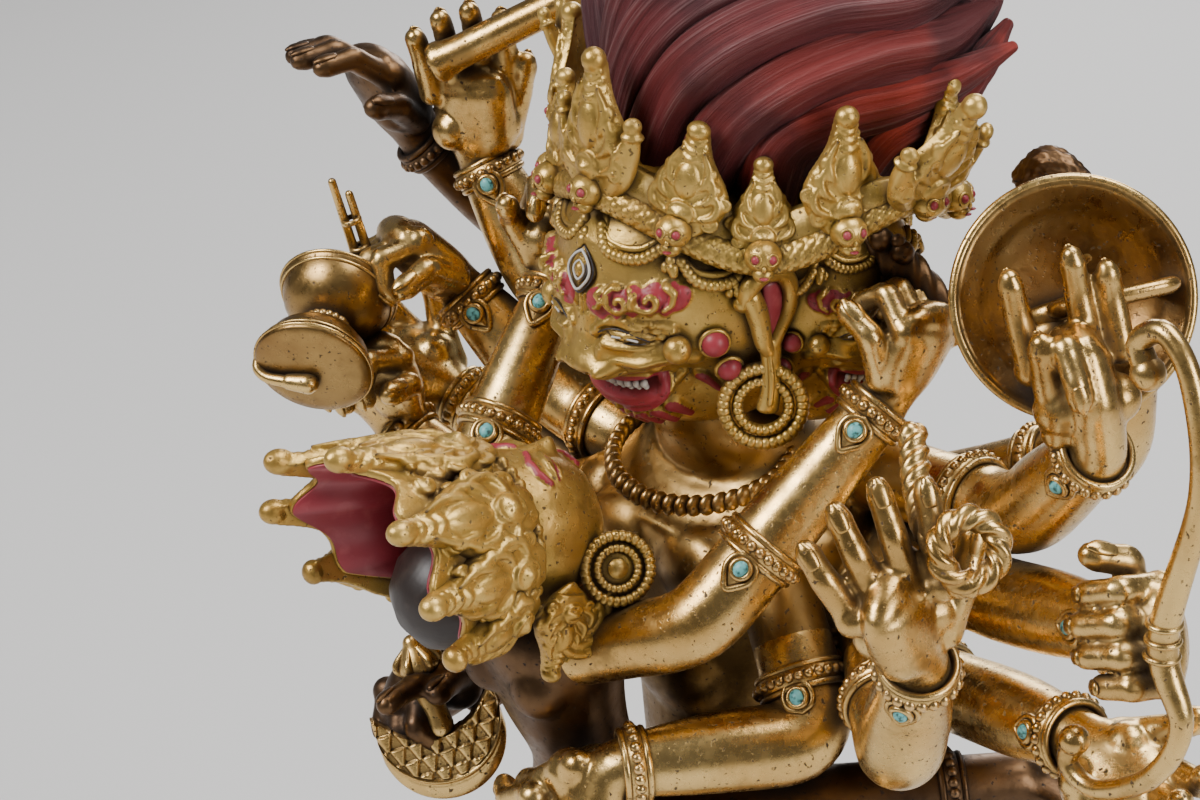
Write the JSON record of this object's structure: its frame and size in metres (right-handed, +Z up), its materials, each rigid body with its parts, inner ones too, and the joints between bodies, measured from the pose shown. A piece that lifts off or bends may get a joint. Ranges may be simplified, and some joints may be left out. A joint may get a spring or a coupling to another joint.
{
  "type": "statue",
  "caption": "Gilt bronze group of a wrathful many-armed deity embracing his consort, standing on a low lotus plinth",
  "frame": {"origin": "middle of the plinth's flat underside, on the surface it stands on", "axes": "+Z up, the deity faces -Y, and +X is the deity's left"},
  "size_m": [0.2134, 0.137, 0.2905],
  "materials": {
    "plinth_gilding": "worn fire gilding over cast copper alloy, dark in the petal grooves",
    "body_gilding": "gilding under matte cold gold paint, red and maroon paint on faces and hair",
    "bright_gilding": "polished fire gilding, rubbed to copper at the high points",
    "dark_gilding": "gilding worn through to dark brown bronze",
    "turquoise": "small waxy turquoise cabochons"
  },
  "bodies": {
    "root": {"plinth": "plinth_gilding", "deity_body": "body_gilding", "consort": "body_gilding", "consort_baton": "dark_gilding", "arm_left_shield": "bright_gilding", "arm_left_bow": "bright_gilding", "arm_left_low": "bright_gilding", "arm_left_noose": "bright_gilding", "arm_left_embracing": "bright_gilding", "arm_left_raised": "bright_gilding", "arm_right_rod": "bright_gilding", "arm_right_arrow": "bright_gilding", "arm_right_low": "bright_gilding", "arm_right_drum": "bright_gilding", "arm_right_knife": "dark_gilding", "arm_right_raised": "dark_gilding", "rod": "bright_gilding", "arrow": "bright_gilding", "drum": "bright_gilding", "knife": "dark_gilding", "shield": "bright_gilding", "bow": "bright_gilding", "noose": "dark_gilding", "hooked_baton": "dark_gilding", "stone_left_shield": "turquoise", "stone_left_bow": "turquoise", "stone_left_low": "turquoise", "stone_left_noose": "turquoise", "stone_left_embracing": "turquoise", "stone_right_rod": "turquoise", "stone_right_arrow": "turquoise", "stone_consort_right_armlet": "turquoise", "stone_consort_right_bracelet": "turquoise", "stone_consort_left_armlet": "turquoise", "stone_consort_left_bracelet": "turquoise"}
  },
  "joints": []
}
